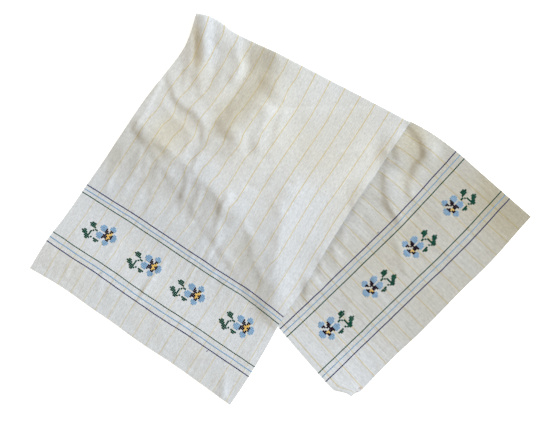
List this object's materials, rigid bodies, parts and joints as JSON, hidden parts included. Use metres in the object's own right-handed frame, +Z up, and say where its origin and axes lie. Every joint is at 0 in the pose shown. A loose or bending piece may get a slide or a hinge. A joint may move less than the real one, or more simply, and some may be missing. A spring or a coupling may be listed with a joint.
{
  "type": "decorative towel",
  "caption": "Cream cotton show towel with woven gold stripes and an embroidered flower band at each end, folded over and fanned out flat.",
  "frame": {"origin": "on the surface that the towel lies on, below the middle of its outline", "axes": "+X to the right along the longest extent, +Y towards the fold at the far side, +Z up out of the surface"},
  "size_m": [0.926, 0.7186, 0.0196],
  "materials": {
    "cloth": "plain woven cream cotton, washed soft, matt and faintly sheer",
    "gold_stripe": "woven gold yarn, matt",
    "navy_thread": "navy cotton sewing thread, soft sheen",
    "light_blue_thread": "light blue cotton sewing thread, soft sheen",
    "green_thread": "green cotton sewing thread, soft sheen",
    "purple_thread": "very dark purple cotton sewing thread, soft sheen",
    "yellow_thread": "yellow cotton sewing thread, soft sheen",
    "cream_thread": "cream cotton sewing thread, matt"
  },
  "bodies": {
    "root": {"towel": "cloth"}
  },
  "joints": []
}
